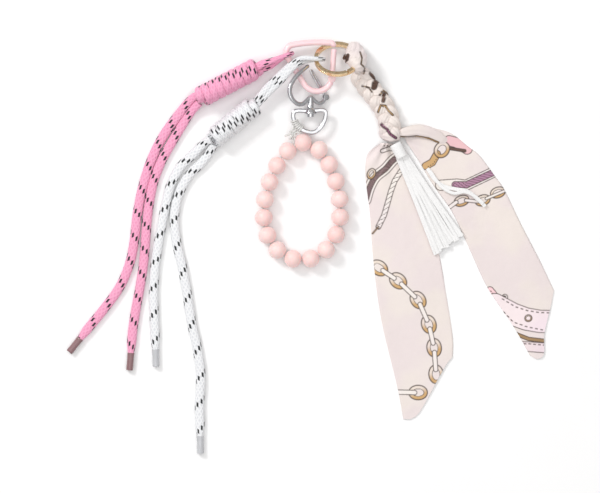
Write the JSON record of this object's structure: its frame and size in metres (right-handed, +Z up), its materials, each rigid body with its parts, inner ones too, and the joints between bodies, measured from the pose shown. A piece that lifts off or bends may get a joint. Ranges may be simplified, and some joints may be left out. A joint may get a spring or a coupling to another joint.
{
  "type": "wristlet keychain",
  "caption": "Wristlet keychain: split ring, enamelled carabiner, heart swivel clasp with bead loop, two knotted laces, braided scarf and strip tassel.",
  "frame": {"origin": "on the resting surface, straight below the centre of the split ring's eye", "axes": "+Z up from the table; +Y away from the hanging pieces, which lie towards -Y; laces towards -X and scarf towards +X"},
  "size_m": [0.4047, 0.3444, 0.0282],
  "materials": {
    "gold": "bright gold plate",
    "pink_enamel": "gloss enamel",
    "nickel": "polished nickel",
    "spring_steel": "drawn wire",
    "silicone": "matte silicone",
    "elastic": "clear elastic",
    "pink_lace": "woven lace with dark tracer",
    "white_lace": "woven lace with dark tracer",
    "brown_tip": "smooth sleeve",
    "clear_tip": "clear sleeve",
    "satin": "printed satin",
    "white_leather": "smooth coated strip"
  },
  "bodies": {
    "ring": {"key_ring": "gold", "scarf_hitch": "satin"},
    "scarf": {"scarf_braid": "satin", "scarf_knot": "satin", "scarf_tail_left": "satin", "scarf_tail_right": "satin", "scarf_fold": "satin", "tassel_stray": "white_leather"},
    "tassel": {"tassel_cap": "white_leather", "tassel_strips": "white_leather"},
    "carabiner": {"carabiner_body": "pink_enamel", "carabiner_rivet": "nickel"},
    "carabiner_gate": {"carabiner_gate": "pink_enamel", "carabiner_spring": "spring_steel"},
    "clasp": {"heart_hook": "nickel", "heart_pin": "nickel", "swivel_post": "nickel"},
    "clasp_gate": {"heart_gate": "nickel", "heart_spring": "spring_steel"},
    "swivel": {"swivel_loop": "nickel", "elastic_wrap": "elastic", "bead_cord": "elastic"},
    "pink_lace": {"pink_loop": "pink_lace", "pink_strands": "pink_lace", "pink_coil": "pink_lace", "pink_tail_left": "pink_lace", "pink_tail_right": "pink_lace", "pink_tip_left": "brown_tip", "pink_tip_right": "brown_tip"},
    "white_lace": {"white_loop": "white_lace", "white_strands": "white_lace", "white_coil": "white_lace", "white_tail_left": "white_lace", "white_tail_right": "white_lace", "white_tip_left": "clear_tip", "white_tip_right": "clear_tip"},
    "bead_01": {"bead_01": "silicone"},
    "bead_02": {"bead_02": "silicone"},
    "bead_03": {"bead_03": "silicone"},
    "bead_04": {"bead_04": "silicone"},
    "bead_05": {"bead_05": "silicone"},
    "bead_06": {"bead_06": "silicone"},
    "bead_07": {"bead_07": "silicone"},
    "bead_08": {"bead_08": "silicone"},
    "bead_09": {"bead_09": "silicone"},
    "bead_10": {"bead_10": "silicone"},
    "bead_11": {"bead_11": "silicone"},
    "bead_12": {"bead_12": "silicone"},
    "bead_13": {"bead_13": "silicone"},
    "bead_14": {"bead_14": "silicone"},
    "bead_15": {"bead_15": "silicone"},
    "bead_16": {"bead_16": "silicone"},
    "bead_17": {"bead_17": "silicone"}
  },
  "joints": [
    {"name": "scarf_swing", "type": "hinge", "parent": "ring", "child": "scarf", "pos_m": [0.018, -0.01, 0.008], "axis": [0, 0, 1], "range_deg": [0, 14]},
    {"name": "tassel_swing", "type": "hinge", "parent": "scarf", "child": "tassel", "pos_m": [0.0485, -0.07, 0.006], "axis": [0, 0, 1], "range_deg": [-6, 0]},
    {"name": "ring_tip", "type": "hinge", "parent": "carabiner", "child": "ring", "pos_m": [-0.0025, 0.013, 0.0023], "axis": [-1, 0, 0], "range_deg": [0, 10]},
    {"name": "carabiner_gate_hinge", "type": "hinge", "parent": "carabiner", "child": "carabiner_gate", "pos_m": [-0.00435, -0.01594, 0.0095], "axis": [0, 0, 1], "range_deg": [0, 12], "stiffness_Nm_per_rad": 0.02, "springref_deg": -28.65},
    {"name": "clasp_swing", "type": "hinge", "parent": "carabiner", "child": "clasp", "pos_m": [-0.0166, -0.014, 0.0095], "axis": [0, 0, -1], "range_deg": [0, 4]},
    {"name": "clasp_gate_hinge", "type": "hinge", "parent": "clasp", "child": "clasp_gate", "pos_m": [-0.00926, -0.031, 0.00271], "axis": [0.454, 0, 0.891], "range_deg": [0, 12], "stiffness_Nm_per_rad": 0.01, "springref_deg": -28.65},
    {"name": "swivel_turn", "type": "hinge", "parent": "clasp", "child": "swivel", "pos_m": [-0.022, -0.0425, 0.0092], "axis": [0, -1, 0], "continuous": true},
    {"name": "pink_lace_lift", "type": "hinge", "parent": "carabiner", "child": "pink_lace", "pos_m": [-0.04183, 0.00316, 0.0095], "axis": [0.3746, -0.9272, 0], "range_deg": [0, 80]},
    {"name": "white_lace_lift", "type": "hinge", "parent": "ring", "child": "white_lace", "pos_m": [-0.0175, 0, 0.01398], "axis": [0, 1, 0], "range_deg": [0, 70]},
    {"name": "bead_01_spin", "type": "hinge", "parent": "swivel", "child": "bead_01", "pos_m": [-0.02812, -0.06863, 0.00715], "axis": [0.9991, 0.042, 0], "continuous": true},
    {"name": "bead_02_spin", "type": "hinge", "parent": "swivel", "child": "bead_02", "pos_m": [-0.01495, -0.07465, 0.00715], "axis": [0.763, -0.6464, 0], "continuous": true},
    {"name": "bead_03_spin", "type": "hinge", "parent": "swivel", "child": "bead_03", "pos_m": [-0.00649, -0.08695, 0.00715], "axis": [0.4711, -0.8821, 0], "continuous": true},
    {"name": "bead_04_spin", "type": "hinge", "parent": "swivel", "child": "bead_04", "pos_m": [-0.00096, -0.10084, 0.00715], "axis": [0.2906, -0.9569, 0], "continuous": true},
    {"name": "bead_05_spin", "type": "hinge", "parent": "swivel", "child": "bead_05", "pos_m": [0.00217, -0.11547, 0.00715], "axis": [0.117, -0.9931, 0], "continuous": true},
    {"name": "bead_06_spin", "type": "hinge", "parent": "swivel", "child": "bead_06", "pos_m": [0.00253, -0.13042, 0.00715], "axis": [-0.1003, -0.995, 0], "continuous": true},
    {"name": "bead_07_spin", "type": "hinge", "parent": "swivel", "child": "bead_07", "pos_m": [-0.0008, -0.14497, 0.00715], "axis": [-0.3914, -0.9202, 0], "continuous": true},
    {"name": "bead_08_spin", "type": "hinge", "parent": "swivel", "child": "bead_08", "pos_m": [-0.00895, -0.15741, 0.00715], "axis": [-0.7254, -0.6883, 0], "continuous": true},
    {"name": "bead_09_spin", "type": "hinge", "parent": "swivel", "child": "bead_09", "pos_m": [-0.02176, -0.16486, 0.00715], "axis": [-0.9641, -0.2657, 0], "continuous": true},
    {"name": "bead_10_spin", "type": "hinge", "parent": "swivel", "child": "bead_10", "pos_m": [-0.03657, -0.16502, 0.00715], "axis": [-0.9694, 0.2456, 0], "continuous": true},
    {"name": "bead_11_spin", "type": "hinge", "parent": "swivel", "child": "bead_11", "pos_m": [-0.04952, -0.15782, 0.00715], "axis": [-0.733, 0.6802, 0], "continuous": true},
    {"name": "bead_12_spin", "type": "hinge", "parent": "swivel", "child": "bead_12", "pos_m": [-0.05769, -0.14542, 0.00715], "axis": [-0.3829, 0.9238, 0], "continuous": true},
    {"name": "bead_13_spin", "type": "hinge", "parent": "swivel", "child": "bead_13", "pos_m": [-0.06071, -0.13081, 0.00715], "axis": [-0.0699, 0.9976, 0], "continuous": true},
    {"name": "bead_14_spin", "type": "hinge", "parent": "swivel", "child": "bead_14", "pos_m": [-0.05976, -0.11589, 0.00715], "axis": [0.1608, 0.987, 0], "continuous": true},
    {"name": "bead_15_spin", "type": "hinge", "parent": "swivel", "child": "bead_15", "pos_m": [-0.05593, -0.10144, 0.00715], "axis": [0.3367, 0.9416, 0], "continuous": true},
    {"name": "bead_16_spin", "type": "hinge", "parent": "swivel", "child": "bead_16", "pos_m": [-0.04972, -0.08782, 0.00715], "axis": [0.5041, 0.8637, 0], "continuous": true},
    {"name": "bead_17_spin", "type": "hinge", "parent": "swivel", "child": "bead_17", "pos_m": [-0.04093, -0.07575, 0.00715], "axis": [0.7475, 0.6643, 0], "continuous": true}
  ]
}
